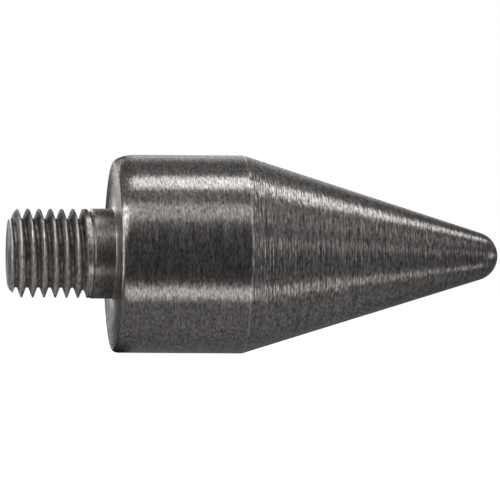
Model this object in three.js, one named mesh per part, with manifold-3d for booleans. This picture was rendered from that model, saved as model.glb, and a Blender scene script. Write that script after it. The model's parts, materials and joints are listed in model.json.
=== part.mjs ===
// Live center with a threaded shank: a fixed housing that carries a free-turning 35 degree point.
// The axis of turning is X, with the point towards +X and the threaded shank towards -X.
// The rear shoulder, which bears on whatever the shank is screwed into, lies in the plane X = 0.
// Lengths are in millimetres. A name that ends in START or END is a place along X.

import * as THREE from "three";
import { mergeVertices } from "three/addons/utils/BufferGeometryUtils.js";
import Module from "manifold-3d";

const wasm = await Module();
wasm.setup();

const FULL_TURN = 2 * Math.PI;

// How finely the round shapes are cut into flats
const FACETS = 36;
const THREAD_FACETS = 24;
const ARC_STEPS = 4;
const NOSE_STEPS = 7;
const POCKET_SIDES = 12;
const ROLLER_SIDES = 10;
const BALL_DETAIL = 1;
const MERGE_DISTANCE = 1e-4;

// Gap between two pieces that touch, and between a ring and the shaft or bore that it fits
const SEAT_GAP = 0.05;

// Outside of the tool
const BODY_RADIUS = 17.5;
const REAR_CHAMFER = 1;
const HOUSING_END = 22.88;
const RUNNING_GAP = 0.12;
const CONE_START = HOUSING_END + RUNNING_GAP;
const CONE_HALF_ANGLE = THREE.MathUtils.degToRad(17.5);
const NOSE_RADIUS = 4.35;

// Threaded shank: a 2 mm pitch right-hand thread on 16 mm, cut deep and sharp
const SHANK_START = -18.75;
const SHANK_END_RADIUS = 6.3;
const THREAD_PITCH = 2;
const THREAD_RADIUS = 7.85;
const THREAD_DEPTH = 1.9;
const THREAD_SHARP_RADIUS = 8.1;
const THREAD_SHARP_DEPTH = THREAD_SHARP_RADIUS - THREAD_RADIUS + THREAD_DEPTH;
const THREAD_ROOT_FLAT = 0.45;
const THREAD_BLANK_START = -21.7;
const THREAD_TURNS = 10;
const RUN_OUT_LENGTH = 3;
const RUN_OUT_END = -3.5;
const THREAD_END = -3.8;
const NECK_START = -3.9;
const NECK_RADIUS = 7.95;

// Flange of the shank, which closes the back of the housing
const PLUG_BORE_RADIUS = 12.5;
const FLANGE_RADIUS = PLUG_BORE_RADIUS - SEAT_GAP;
const PLUG_BORE_END = 4.5;
const FLANGE_END = PLUG_BORE_END - SEAT_GAP;
const O_RING_GROOVE_START = 1.9;
const O_RING_GROOVE_END = 3.5;
const O_RING_GROOVE_RADIUS = 11.3;
const TAIL_BORE_RADIUS = 5.5;
const TAIL_BORE_START = -3.6;

// Inside of the housing
const BEARING_BORE_RADIUS = 12;
const BEARING_BORE_END = 20.35;
const LIP_BORE_RADIUS = 8.9;
const OUTER_SEAT_RADIUS = BEARING_BORE_RADIUS - SEAT_GAP;

// Stem of the point
const SHOULDER_RADIUS = 7.1;
const SHOULDER_START = BEARING_BORE_END;
const STEM_RADIUS = 6;
const STEM_START = 5.2;
const STEM_CHAMFER = 0.4;
const STEM_SEAT_RADIUS = STEM_RADIUS + SEAT_GAP;
const JOURNAL_RADIUS = 3.5;
const JOURNAL_START = -2.8;
const CLIP_GROOVE_RADIUS = 5.6;
const CLIP_GROOVE_START = 13.2;

// Front ball bearing, 12 x 24 x 6
const FRONT_BEARING_START = 14.3;
const FRONT_BEARING_END = FRONT_BEARING_START + 6;
const FRONT_BALL_COUNT = 10;
const FRONT_BALL_RADIUS = 1.5875;
const FRONT_BALL_CIRCLE = 9;
const FRONT_BALL_PLACE = (FRONT_BEARING_START + FRONT_BEARING_END) / 2;
const FRONT_GROOVE_RADIUS = 1.68;
const INNER_LAND_RADIUS = 7.75;
const OUTER_LAND_RADIUS = 10.25;
const RACE_CHAMFER = 0.3;
const FRONT_CAGE_HALF_WIDTH = 2.1;
const FRONT_CAGE_HALF_DEPTH = 0.65;
const FRONT_POCKET_RADIUS = 1.74;

// Thrust ball bearing
const THRUST_BALL_COUNT = 12;
const THRUST_BALL_RADIUS = 1.4;
const THRUST_BALL_CIRCLE = 8.05;
const THRUST_BALL_PLACE = 8.4;
const THRUST_GROOVE_RADIUS = 1.48;
const THRUST_HALF_SPACE = 1;
const THRUST_WASHER_THICKNESS = 1.8;
const SHAFT_WASHER_RADIUS = 9.9;
const HOUSING_WASHER_RADIUS = 10.2;
const HOUSING_WASHER_BORE = 6.3;
const THRUST_CAGE_HALF_WIDTH = 0.5;
const THRUST_CAGE_BORE = 6.2;
const THRUST_CAGE_RADIUS = 9.9;
const THRUST_POCKET_RADIUS = 1.52;
const HOUSING_WASHER_END = THRUST_BALL_PLACE - THRUST_HALF_SPACE;
const HOUSING_WASHER_START = HOUSING_WASHER_END - THRUST_WASHER_THICKNESS;
const SHAFT_WASHER_START = THRUST_BALL_PLACE + THRUST_HALF_SPACE;
const SHAFT_WASHER_END = SHAFT_WASHER_START + THRUST_WASHER_THICKNESS;

// Rings between the bearings
const SHIM_BORE = 6.6;
const CLIP_THICKNESS = 1;
const CLIP_START = CLIP_GROOVE_START + SEAT_GAP;
const CLIP_BORE = 5.7;
const CLIP_RADIUS = 7.2;
const CLIP_LUG_RADIUS = 8.8;
const CLIP_HOLE_CIRCLE = 7.7;
const CLIP_HOLE_RADIUS = 0.45;
const CLIP_GAP_ANGLE = 0.16;
const CLIP_LUG_ANGLE = 0.5;
const CLIP_CURVE_SEGMENTS = 14;
const INNER_SPACER_RADIUS = 7.4;
const REAR_SPACER_BORE = 10.6;
const REAR_SPACER_END = 9.9;
const OUTER_SPACER_START = 11.15;
const OUTER_SPACER_BORE = 10.4;
const SPRING_BORE = 10.5;
const SPRING_THICKNESS = 0.3;
const SPRING_WAVES = 4;

// Needle bearing round the tail journal
const NEEDLE_COUNT = 10;
const NEEDLE_RADIUS = 0.75;
const NEEDLE_CIRCLE = 4.3;
const NEEDLE_LENGTH = 5;
const NEEDLE_SHELL_START = -3.4;
const NEEDLE_SHELL_END = 4.4;
const NEEDLE_SHELL_RADIUS = TAIL_BORE_RADIUS - SEAT_GAP;
const NEEDLE_SHELL_BORE = 5.1;
const NEEDLE_SHELL_LIP_BORE = 4.2;
const NEEDLE_SHELL_LIP = 0.4;
const NEEDLE_CAGE_BORE = 3.9;
const NEEDLE_CAGE_RADIUS = 4.7;
const NEEDLE_CAGE_HALF_LENGTH = 3.3;
const NEEDLE_POCKET_LENGTH = 5.3;
const NEEDLE_POCKET_WIDTH = 1.64;
const NEEDLE_POCKET_DEPTH = 2;

// Seals
const SEAL_START = 20.8;
const SEAL_END = 22.4;
const SEAL_RADIUS = LIP_BORE_RADIUS - SEAT_GAP;
const SEAL_LIP_BORE = 7.18;
const O_RING_GAP = 0.08;
const O_RING_SIDES = 8;

const darkSteel = { color: 0x504e4d, roughness: 0.38, metalness: 1 };
const houseSteel = { color: 0x4c4a49, roughness: 0.42, metalness: 1 };
const pointSteel = { color: 0x565453, roughness: 0.34, metalness: 1 };
const raceSteel = { color: 0xb4b6b8, roughness: 0.18, metalness: 1 };
const ballSteel = { color: 0xd0d2d4, roughness: 0.06, metalness: 1 };
const cageBrass = { color: 0xb08a45, roughness: 0.4, metalness: 1 };
const spacerSteel = { color: 0x8e9092, roughness: 0.4, metalness: 1 };
const springSteel = { color: 0x35373a, roughness: 0.35, metalness: 1 };
const sealRubber = { color: 0x151515, roughness: 0.8, metalness: 0 };

// Turns a profile about X. Each point is [place along X, radius]. The outside runs towards +X and
// the inside runs back, so the faces point out.
function turned(profile, facets = FACETS) {
  const points = profile.map(([place, radius]) => new THREE.Vector2(radius, place));
  return new THREE.LatheGeometry(points, facets).rotateZ(-Math.PI / 2);
}

function turnedRing(profile) {
  return turned([...profile, profile[0]]);
}

function plainRing(start, end, bore, radius) {
  return turnedRing([[start, radius], [end, radius], [end, bore], [start, bore]]);
}

// Points of an arc in a profile. Angle 0 points along +X and a quarter turn points away from the axis.
function arcPoints(centrePlace, centreRadius, arcRadius, fromAngle, toAngle, steps) {
  const points = [];
  for (let step = 0; step <= steps; step += 1) {
    const angle = fromAngle + ((toAngle - fromAngle) * step) / steps;
    const place = centrePlace + arcRadius * Math.cos(angle);
    points.push([place, centreRadius + arcRadius * Math.sin(angle)]);
  }
  return points;
}

function solidOf(geometry) {
  const bare = geometry.clone();
  bare.deleteAttribute("normal");
  bare.deleteAttribute("uv");
  const merged = mergeVertices(bare, MERGE_DISTANCE);
  const corners = merged.index.array;
  const triangles = [];
  for (let first = 0; first < corners.length; first += 3) {
    const [a, b, c] = [corners[first], corners[first + 1], corners[first + 2]];
    if (a !== b && b !== c && c !== a) {
      triangles.push(a, b, c);
    }
  }
  const mesh = new wasm.Mesh({
    numProp: 3,
    vertProperties: new Float32Array(merged.attributes.position.array),
    triVerts: new Uint32Array(triangles),
  });
  return new wasm.Manifold(mesh);
}

function geometryOf(solid) {
  const mesh = solid.getMesh();
  const geometry = new THREE.BufferGeometry();
  geometry.setAttribute("position", new THREE.BufferAttribute(mesh.vertProperties, mesh.numProp));
  geometry.setIndex(new THREE.BufferAttribute(mesh.triVerts, 1));
  geometry.computeVertexNormals();
  return geometry;
}

function namedMesh(name, geometry, finish) {
  const mesh = new THREE.Mesh(geometry, new THREE.MeshStandardMaterial(finish));
  mesh.name = name;
  return mesh;
}

// Depth of the thread groove as a share of its full depth: it fades out where the tool is withdrawn
function grooveShare(place) {
  const left = THREE.MathUtils.clamp((RUN_OUT_END - place) / RUN_OUT_LENGTH, 0, 1);
  return Math.sin((left * Math.PI) / 2);
}

// One sharp crest and one root flat for each pitch, along X
function threadRow(row) {
  const crest = THREAD_BLANK_START + Math.floor(row / 3) * THREAD_PITCH;
  const flank = (THREAD_PITCH - THREAD_ROOT_FLAT) / 2;
  const offset = [0, flank, THREAD_PITCH - flank][row % 3];
  return { place: crest + offset, isRoot: row % 3 !== 0 };
}

function threadPoint(facet, row) {
  const turn = facet / THREAD_FACETS;
  const angle = turn * FULL_TURN;
  const along = threadRow(row);
  const place = along.place + turn * THREAD_PITCH;
  const grooveDepth = along.isRoot ? THREAD_SHARP_DEPTH * grooveShare(place) : 0;
  const radius = THREAD_SHARP_RADIUS - grooveDepth;
  return [place, radius * Math.cos(angle), radius * Math.sin(angle)];
}

// The thread before its ends are cut: a sheet that climbs one pitch a turn, closed at each end by a
// fan of triangles from the axis. Its last column lies on its first one, three rows further on.
function threadBlank() {
  const rows = THREAD_TURNS * 3 + 1;
  const positions = [];
  for (let facet = 0; facet <= THREAD_FACETS; facet += 1) {
    for (let row = 0; row < rows; row += 1) {
      positions.push(...threadPoint(facet, row));
    }
  }
  const backCentre = positions.length / 3;
  const frontCentre = backCentre + 1;
  positions.push(THREAD_BLANK_START - THREAD_PITCH, 0, 0);
  positions.push(THREAD_BLANK_START + (THREAD_TURNS + 2) * THREAD_PITCH, 0, 0);

  const at = (facet, row) => facet * rows + row;
  const triangles = [];
  for (let facet = 0; facet < THREAD_FACETS; facet += 1) {
    for (let row = 0; row < rows - 1; row += 1) {
      triangles.push(at(facet, row), at(facet + 1, row + 1), at(facet, row + 1));
      triangles.push(at(facet, row), at(facet + 1, row), at(facet + 1, row + 1));
    }
    triangles.push(backCentre, at(facet + 1, 0), at(facet, 0));
    triangles.push(frontCentre, at(facet, rows - 1), at(facet + 1, rows - 1));
  }
  for (let row = 0; row < 3; row += 1) {
    const lastRow = rows - 1 - row;
    triangles.push(backCentre, at(0, row), at(0, row + 1));
    triangles.push(frontCentre, at(THREAD_FACETS, lastRow), at(THREAD_FACETS, lastRow - 1));
  }
  const geometry = new THREE.BufferGeometry();
  geometry.setAttribute("position", new THREE.Float32BufferAttribute(positions, 3));
  geometry.setIndex(triangles);
  return geometry;
}

function threadedShank() {
  const chamfer = THREAD_RADIUS - SHANK_END_RADIUS;
  const outline = [
    [SHANK_START, 0],
    [SHANK_START, SHANK_END_RADIUS],
    [SHANK_START + chamfer, THREAD_RADIUS],
    [THREAD_END, THREAD_RADIUS],
    [THREAD_END, 0],
  ];
  const neckAndFlange = turned([
    [NECK_START, 0],
    [NECK_START, NECK_RADIUS],
    [0, NECK_RADIUS],
    [0, FLANGE_RADIUS],
    [O_RING_GROOVE_START, FLANGE_RADIUS],
    [O_RING_GROOVE_START, O_RING_GROOVE_RADIUS],
    [O_RING_GROOVE_END, O_RING_GROOVE_RADIUS],
    [O_RING_GROOVE_END, FLANGE_RADIUS],
    [FLANGE_END, FLANGE_RADIUS],
    [FLANGE_END, TAIL_BORE_RADIUS],
    [TAIL_BORE_START, TAIL_BORE_RADIUS],
    [TAIL_BORE_START, 0],
  ]);
  const envelope = solidOf(turned(outline, THREAD_FACETS));
  const shank = solidOf(threadBlank()).intersect(envelope).add(solidOf(neckAndFlange));
  return namedMesh("threaded_shank", geometryOf(shank), darkSteel);
}

function housingSleeve() {
  const geometry = turnedRing([
    [0, BODY_RADIUS - REAR_CHAMFER],
    [REAR_CHAMFER, BODY_RADIUS],
    [HOUSING_END, BODY_RADIUS],
    [HOUSING_END, LIP_BORE_RADIUS],
    [BEARING_BORE_END, LIP_BORE_RADIUS],
    [BEARING_BORE_END, BEARING_BORE_RADIUS],
    [PLUG_BORE_END, BEARING_BORE_RADIUS],
    [PLUG_BORE_END, PLUG_BORE_RADIUS],
    [0, PLUG_BORE_RADIUS],
  ]);
  return namedMesh("housing_sleeve", geometry, houseSteel);
}

// The nose is a ball that the cone's sides touch, so its centre follows from the cone
function centerPoint() {
  const coneLength = (BODY_RADIUS - NOSE_RADIUS / Math.cos(CONE_HALF_ANGLE)) / Math.tan(CONE_HALF_ANGLE);
  const noseCentre = CONE_START + coneLength;
  const touchAngle = Math.PI / 2 - CONE_HALF_ANGLE;
  const geometry = turned([
    [JOURNAL_START, 0],
    [JOURNAL_START, JOURNAL_RADIUS],
    [STEM_START, JOURNAL_RADIUS],
    [STEM_START, STEM_RADIUS - STEM_CHAMFER],
    [STEM_START + STEM_CHAMFER, STEM_RADIUS],
    [CLIP_GROOVE_START, STEM_RADIUS],
    [CLIP_GROOVE_START, CLIP_GROOVE_RADIUS],
    [FRONT_BEARING_START, CLIP_GROOVE_RADIUS],
    [FRONT_BEARING_START, STEM_RADIUS],
    [SHOULDER_START, STEM_RADIUS],
    [SHOULDER_START, SHOULDER_RADIUS],
    [CONE_START, SHOULDER_RADIUS],
    [CONE_START, BODY_RADIUS],
    ...arcPoints(noseCentre, 0, NOSE_RADIUS, touchAngle, 0, NOSE_STEPS),
  ]);
  return namedMesh("center_point", geometry, pointSteel);
}

function frontSeal() {
  const geometry = turnedRing([
    [SEAL_START, SEAL_RADIUS],
    [SEAL_END, SEAL_RADIUS],
    [SEAL_END, SEAL_RADIUS - 0.5],
    [SEAL_END - 0.9, SEAL_RADIUS - 0.65],
    [SEAL_END - 0.2, SEAL_LIP_BORE + 0.2],
    [SEAL_END - 0.4, SEAL_LIP_BORE],
    [SEAL_START + 0.3, SEAL_LIP_BORE + 0.55],
    [SEAL_START, SEAL_LIP_BORE + 0.55],
  ]);
  return namedMesh("front_seal", geometry, sealRubber);
}

function frontOuterRace() {
  const grooveAngle = Math.acos((OUTER_LAND_RADIUS - FRONT_BALL_CIRCLE) / FRONT_GROOVE_RADIUS);
  const geometry = turnedRing([
    [FRONT_BEARING_START, OUTER_SEAT_RADIUS - RACE_CHAMFER],
    [FRONT_BEARING_START + RACE_CHAMFER, OUTER_SEAT_RADIUS],
    [FRONT_BEARING_END - RACE_CHAMFER, OUTER_SEAT_RADIUS],
    [FRONT_BEARING_END, OUTER_SEAT_RADIUS - RACE_CHAMFER],
    [FRONT_BEARING_END, OUTER_LAND_RADIUS],
    ...arcPoints(
      FRONT_BALL_PLACE,
      FRONT_BALL_CIRCLE,
      FRONT_GROOVE_RADIUS,
      Math.PI / 2 - grooveAngle,
      Math.PI / 2 + grooveAngle,
      ARC_STEPS,
    ),
    [FRONT_BEARING_START, OUTER_LAND_RADIUS],
  ]);
  return namedMesh("front_bearing_outer_race", geometry, raceSteel);
}

function frontInnerRace() {
  const grooveAngle = Math.acos((FRONT_BALL_CIRCLE - INNER_LAND_RADIUS) / FRONT_GROOVE_RADIUS);
  const geometry = turnedRing([
    [FRONT_BEARING_START, INNER_LAND_RADIUS],
    ...arcPoints(
      FRONT_BALL_PLACE,
      FRONT_BALL_CIRCLE,
      FRONT_GROOVE_RADIUS,
      -Math.PI / 2 - grooveAngle,
      -Math.PI / 2 + grooveAngle,
      ARC_STEPS,
    ),
    [FRONT_BEARING_END, INNER_LAND_RADIUS],
    [FRONT_BEARING_END, STEM_SEAT_RADIUS + RACE_CHAMFER],
    [FRONT_BEARING_END - RACE_CHAMFER, STEM_SEAT_RADIUS],
    [FRONT_BEARING_START + RACE_CHAMFER, STEM_SEAT_RADIUS],
    [FRONT_BEARING_START, STEM_SEAT_RADIUS + RACE_CHAMFER],
  ]);
  return namedMesh("front_bearing_inner_race", geometry, raceSteel);
}

// Cuts one pocket for each rolling piece out of a ring. The first pocket is the one at +Z.
function cutPockets(ring, pocket, count) {
  let cage = solidOf(ring);
  for (let number = 0; number < count; number += 1) {
    const turnedPocket = pocket.clone().rotateX((number * FULL_TURN) / count);
    cage = cage.subtract(solidOf(turnedPocket));
  }
  return geometryOf(cage);
}

function frontCage() {
  const ring = plainRing(
    FRONT_BALL_PLACE - FRONT_CAGE_HALF_WIDTH,
    FRONT_BALL_PLACE + FRONT_CAGE_HALF_WIDTH,
    FRONT_BALL_CIRCLE - FRONT_CAGE_HALF_DEPTH,
    FRONT_BALL_CIRCLE + FRONT_CAGE_HALF_DEPTH,
  );
  const pocket = new THREE.CylinderGeometry(
    FRONT_POCKET_RADIUS,
    FRONT_POCKET_RADIUS,
    FRONT_CAGE_HALF_DEPTH * 4,
    POCKET_SIDES,
  );
  pocket.rotateX(Math.PI / 2).translate(FRONT_BALL_PLACE, 0, FRONT_BALL_CIRCLE);
  return namedMesh("front_bearing_cage", cutPockets(ring, pocket, FRONT_BALL_COUNT), cageBrass);
}

function thrustCage() {
  const ring = plainRing(
    THRUST_BALL_PLACE - THRUST_CAGE_HALF_WIDTH,
    THRUST_BALL_PLACE + THRUST_CAGE_HALF_WIDTH,
    THRUST_CAGE_BORE,
    THRUST_CAGE_RADIUS,
  );
  const pocket = new THREE.CylinderGeometry(
    THRUST_POCKET_RADIUS,
    THRUST_POCKET_RADIUS,
    THRUST_CAGE_HALF_WIDTH * 4,
    POCKET_SIDES,
  );
  pocket.rotateZ(Math.PI / 2).translate(THRUST_BALL_PLACE, 0, THRUST_BALL_CIRCLE);
  return namedMesh("thrust_cage", cutPockets(ring, pocket, THRUST_BALL_COUNT), cageBrass);
}

function needleCage() {
  const middle = (NEEDLE_SHELL_START + NEEDLE_SHELL_END) / 2;
  const ring = plainRing(
    middle - NEEDLE_CAGE_HALF_LENGTH,
    middle + NEEDLE_CAGE_HALF_LENGTH,
    NEEDLE_CAGE_BORE,
    NEEDLE_CAGE_RADIUS,
  );
  const pocket = new THREE.BoxGeometry(NEEDLE_POCKET_LENGTH, NEEDLE_POCKET_WIDTH, NEEDLE_POCKET_DEPTH);
  pocket.translate(middle, 0, NEEDLE_CIRCLE);
  return namedMesh("needle_bearing_cage", cutPockets(ring, pocket, NEEDLE_COUNT), spacerSteel);
}

// Copies of one rolling piece round the axis, each in the middle of its cage's pocket
function rollingPieces(name, count, circle, place, makeGeometry, finish) {
  const pieces = [];
  for (let number = 0; number < count; number += 1) {
    const angle = (number * FULL_TURN) / count;
    const label = String(number + 1).padStart(2, "0");
    const piece = namedMesh(`${name}_${label}`, makeGeometry(), finish);
    piece.position.set(place, -circle * Math.sin(angle), circle * Math.cos(angle));
    pieces.push(piece);
  }
  return pieces;
}

function frontBalls() {
  const ball = () => new THREE.IcosahedronGeometry(FRONT_BALL_RADIUS, BALL_DETAIL);
  const place = FRONT_BALL_PLACE;
  return rollingPieces("front_ball", FRONT_BALL_COUNT, FRONT_BALL_CIRCLE, place, ball, ballSteel);
}

function thrustBalls() {
  const ball = () => new THREE.IcosahedronGeometry(THRUST_BALL_RADIUS, BALL_DETAIL);
  const place = THRUST_BALL_PLACE;
  return rollingPieces("thrust_ball", THRUST_BALL_COUNT, THRUST_BALL_CIRCLE, place, ball, ballSteel);
}

function needleRollers() {
  const middle = (NEEDLE_SHELL_START + NEEDLE_SHELL_END) / 2;
  const roller = () => {
    const geometry = new THREE.CylinderGeometry(NEEDLE_RADIUS, NEEDLE_RADIUS, NEEDLE_LENGTH, ROLLER_SIDES);
    return geometry.rotateZ(Math.PI / 2);
  };
  return rollingPieces("needle_roller", NEEDLE_COUNT, NEEDLE_CIRCLE, middle, roller, ballSteel);
}

function thrustShaftWasher() {
  const grooveAngle = Math.acos(THRUST_HALF_SPACE / THRUST_GROOVE_RADIUS);
  const geometry = turnedRing([
    [SHAFT_WASHER_START, SHAFT_WASHER_RADIUS],
    [SHAFT_WASHER_END, SHAFT_WASHER_RADIUS],
    [SHAFT_WASHER_END, STEM_SEAT_RADIUS],
    [SHAFT_WASHER_START, STEM_SEAT_RADIUS],
    ...arcPoints(
      THRUST_BALL_PLACE,
      THRUST_BALL_CIRCLE,
      THRUST_GROOVE_RADIUS,
      -grooveAngle,
      grooveAngle,
      ARC_STEPS,
    ),
  ]);
  return namedMesh("thrust_shaft_washer", geometry, raceSteel);
}

function thrustHousingWasher() {
  const grooveAngle = Math.acos(THRUST_HALF_SPACE / THRUST_GROOVE_RADIUS);
  const geometry = turnedRing([
    [HOUSING_WASHER_START, HOUSING_WASHER_RADIUS],
    [HOUSING_WASHER_END, HOUSING_WASHER_RADIUS],
    ...arcPoints(
      THRUST_BALL_PLACE,
      THRUST_BALL_CIRCLE,
      THRUST_GROOVE_RADIUS,
      Math.PI - grooveAngle,
      Math.PI + grooveAngle,
      ARC_STEPS,
    ),
    [HOUSING_WASHER_END, HOUSING_WASHER_BORE],
    [HOUSING_WASHER_START, HOUSING_WASHER_BORE],
  ]);
  return namedMesh("thrust_housing_washer", geometry, raceSteel);
}

function shimWasher() {
  const start = FLANGE_END + SEAT_GAP;
  const end = HOUSING_WASHER_START - SEAT_GAP;
  return namedMesh("shim_washer", plainRing(start, end, SHIM_BORE, HOUSING_WASHER_RADIUS), spacerSteel);
}

function innerSpacer() {
  const start = SHAFT_WASHER_END + SEAT_GAP;
  const end = CLIP_START - SEAT_GAP;
  const geometry = plainRing(start, end, STEM_SEAT_RADIUS, INNER_SPACER_RADIUS);
  return namedMesh("inner_spacer", geometry, spacerSteel);
}

function rearSpacerTube() {
  const start = FLANGE_END + SEAT_GAP;
  const geometry = plainRing(start, REAR_SPACER_END, REAR_SPACER_BORE, OUTER_SEAT_RADIUS);
  return namedMesh("rear_spacer_tube", geometry, spacerSteel);
}

function outerSpacer() {
  const end = FRONT_BEARING_START - SEAT_GAP;
  const geometry = plainRing(OUTER_SPACER_START, end, OUTER_SPACER_BORE, OUTER_SEAT_RADIUS);
  return namedMesh("outer_spacer", geometry, spacerSteel);
}

// A flat ring bent into waves, which keeps the outer rings pressed together
function waveSpring() {
  const start = REAR_SPACER_END + SEAT_GAP;
  const end = OUTER_SPACER_START - SEAT_GAP;
  const middle = (start + end) / 2;
  const waveHeight = (end - start - SPRING_THICKNESS) / 2;
  const half = SPRING_THICKNESS / 2;
  const geometry = plainRing(middle - half, middle + half, SPRING_BORE, OUTER_SEAT_RADIUS - SEAT_GAP);
  const position = geometry.attributes.position;
  for (let point = 0; point < position.count; point += 1) {
    const angle = Math.atan2(position.getY(point), position.getZ(point));
    position.setX(point, position.getX(point) + waveHeight * Math.cos(SPRING_WAVES * angle));
  }
  return namedMesh("wave_spring", geometry, springSteel);
}

// An open ring with a lug and a pliers hole at each side of its gap
function retainingRing() {
  const outline = new THREE.Shape();
  const gapEnd = FULL_TURN - CLIP_GAP_ANGLE;
  const lugEnd = FULL_TURN - CLIP_LUG_ANGLE;
  outline.absarc(0, 0, CLIP_LUG_RADIUS, CLIP_GAP_ANGLE, CLIP_LUG_ANGLE, false);
  outline.absarc(0, 0, CLIP_RADIUS, CLIP_LUG_ANGLE, lugEnd, false);
  outline.absarc(0, 0, CLIP_LUG_RADIUS, lugEnd, gapEnd, false);
  outline.absarc(0, 0, CLIP_BORE, gapEnd, CLIP_GAP_ANGLE, true);
  outline.closePath();
  for (const side of [-1, 1]) {
    const angle = (side * (CLIP_GAP_ANGLE + CLIP_LUG_ANGLE)) / 2;
    const hole = new THREE.Path();
    const acrossX = CLIP_HOLE_CIRCLE * Math.cos(angle);
    const acrossY = CLIP_HOLE_CIRCLE * Math.sin(angle);
    hole.absarc(acrossX, acrossY, CLIP_HOLE_RADIUS, 0, FULL_TURN, true);
    outline.holes.push(hole);
  }
  const geometry = new THREE.ExtrudeGeometry(outline, {
    depth: CLIP_THICKNESS,
    bevelEnabled: false,
    curveSegments: CLIP_CURVE_SEGMENTS,
  });
  geometry.rotateY(Math.PI / 2).translate(CLIP_START, 0, 0);
  return namedMesh("retaining_ring", geometry, springSteel);
}

// A drawn cup with a lip turned in at each end
function needleShell() {
  const geometry = turnedRing([
    [NEEDLE_SHELL_START, NEEDLE_SHELL_RADIUS],
    [NEEDLE_SHELL_END, NEEDLE_SHELL_RADIUS],
    [NEEDLE_SHELL_END, NEEDLE_SHELL_LIP_BORE],
    [NEEDLE_SHELL_END - NEEDLE_SHELL_LIP, NEEDLE_SHELL_LIP_BORE],
    [NEEDLE_SHELL_END - NEEDLE_SHELL_LIP, NEEDLE_SHELL_BORE],
    [NEEDLE_SHELL_START + NEEDLE_SHELL_LIP, NEEDLE_SHELL_BORE],
    [NEEDLE_SHELL_START + NEEDLE_SHELL_LIP, NEEDLE_SHELL_LIP_BORE],
    [NEEDLE_SHELL_START, NEEDLE_SHELL_LIP_BORE],
  ]);
  return namedMesh("needle_bearing_shell", geometry, raceSteel);
}

// The ring is squeezed between its groove and the housing, so its section is an oval
function shankORing() {
  const lowest = O_RING_GROOVE_RADIUS + SEAT_GAP;
  const highest = PLUG_BORE_RADIUS - O_RING_GAP;
  const halfWidth = (O_RING_GROOVE_END - O_RING_GROOVE_START) / 2 - O_RING_GAP;
  const halfHeight = (highest - lowest) / 2;
  const middle = (O_RING_GROOVE_START + O_RING_GROOVE_END) / 2;
  const section = [];
  for (let side = 0; side < O_RING_SIDES; side += 1) {
    const angle = Math.PI - (side * FULL_TURN) / O_RING_SIDES;
    section.push([middle + halfWidth * Math.cos(angle), lowest + halfHeight + halfHeight * Math.sin(angle)]);
  }
  return namedMesh("shank_o_ring", turnedRing(section), sealRubber);
}

function groupOf(...pieces) {
  const group = new THREE.Group();
  group.add(...pieces);
  return group;
}

const fixedPieces = groupOf(
  threadedShank(),
  housingSleeve(),
  shankORing(),
  frontSeal(),
  frontOuterRace(),
  outerSpacer(),
  waveSpring(),
  rearSpacerTube(),
  thrustHousingWasher(),
  shimWasher(),
  needleShell(),
);
const turningPieces = groupOf(
  centerPoint(),
  frontInnerRace(),
  retainingRing(),
  innerSpacer(),
  thrustShaftWasher(),
);
const frontRollers = groupOf(frontCage(), ...frontBalls());
const thrustRollers = groupOf(thrustCage(), ...thrustBalls());
const needles = groupOf(needleCage(), ...needleRollers());

const liveCenter = groupOf(fixedPieces, turningPieces, frontRollers, thrustRollers, needles);
liveCenter.name = "live_center";

export default liveCenter;
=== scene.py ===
"""Looks of the live center: fine meshes, turned-steel materials, a pale studio and the camera.

The frame is that of the CAD model, in metres: X is the axis of turning, the nose points to +X, the
threaded shank to -X, and +Z is up. The shape functions take millimetres. A corner of a profile is
(place along X, radius, rounding of the corner). Among the sizes of shapes, a name that ends in BORE,
RADIUS or CIRCLE is a distance from the axis of something round, and one that ends in START or END is a
place along X.
"""

import json
import math
from collections import namedtuple

import bmesh
import bpy
from mathutils import Matrix, Quaternion, Vector


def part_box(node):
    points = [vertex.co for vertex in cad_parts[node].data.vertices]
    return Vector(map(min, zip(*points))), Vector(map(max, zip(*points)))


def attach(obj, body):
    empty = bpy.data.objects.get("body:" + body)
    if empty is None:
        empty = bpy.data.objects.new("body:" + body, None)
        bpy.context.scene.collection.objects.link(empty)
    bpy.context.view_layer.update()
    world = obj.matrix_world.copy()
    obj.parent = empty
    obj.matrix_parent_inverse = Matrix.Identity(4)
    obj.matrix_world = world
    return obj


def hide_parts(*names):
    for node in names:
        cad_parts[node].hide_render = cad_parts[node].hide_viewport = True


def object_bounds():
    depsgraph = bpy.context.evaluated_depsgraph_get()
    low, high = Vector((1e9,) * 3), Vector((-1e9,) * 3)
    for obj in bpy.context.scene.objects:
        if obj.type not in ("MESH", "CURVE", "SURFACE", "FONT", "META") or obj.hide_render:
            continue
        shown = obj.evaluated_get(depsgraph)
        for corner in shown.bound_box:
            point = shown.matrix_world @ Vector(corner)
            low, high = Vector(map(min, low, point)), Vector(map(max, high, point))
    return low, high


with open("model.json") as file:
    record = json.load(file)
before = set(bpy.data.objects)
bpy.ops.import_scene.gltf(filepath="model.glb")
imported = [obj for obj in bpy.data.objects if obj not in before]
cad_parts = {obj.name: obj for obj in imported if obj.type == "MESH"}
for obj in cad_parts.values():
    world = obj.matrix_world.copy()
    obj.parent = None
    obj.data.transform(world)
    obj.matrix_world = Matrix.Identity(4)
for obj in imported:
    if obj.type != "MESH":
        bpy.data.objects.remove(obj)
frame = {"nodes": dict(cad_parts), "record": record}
cad_low, cad_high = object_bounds()

MM = 0.001
FULL_TURN = 2 * math.pi
# Vertices that lie this close together, in metres, become one
MERGE_DISTANCE = 1e-8
# Segments round the outer pieces, the inner pieces and thin bars, and steps round one rounded corner
SEGMENTS = 192
INNER_SEGMENTS = 96
BAR_SEGMENTS = 32
ROUNDING_STEPS = 4
# The largest share of a profile's straight side that the rounding of one corner takes up
ROUNDING_REACH = 0.49
SHARP_ANGLE = math.radians(30)
BODY_OF_NODE = {
    node: body for body, nodes in frame["record"]["behaviour"]["bodies"].items() for node in nodes
}

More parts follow.
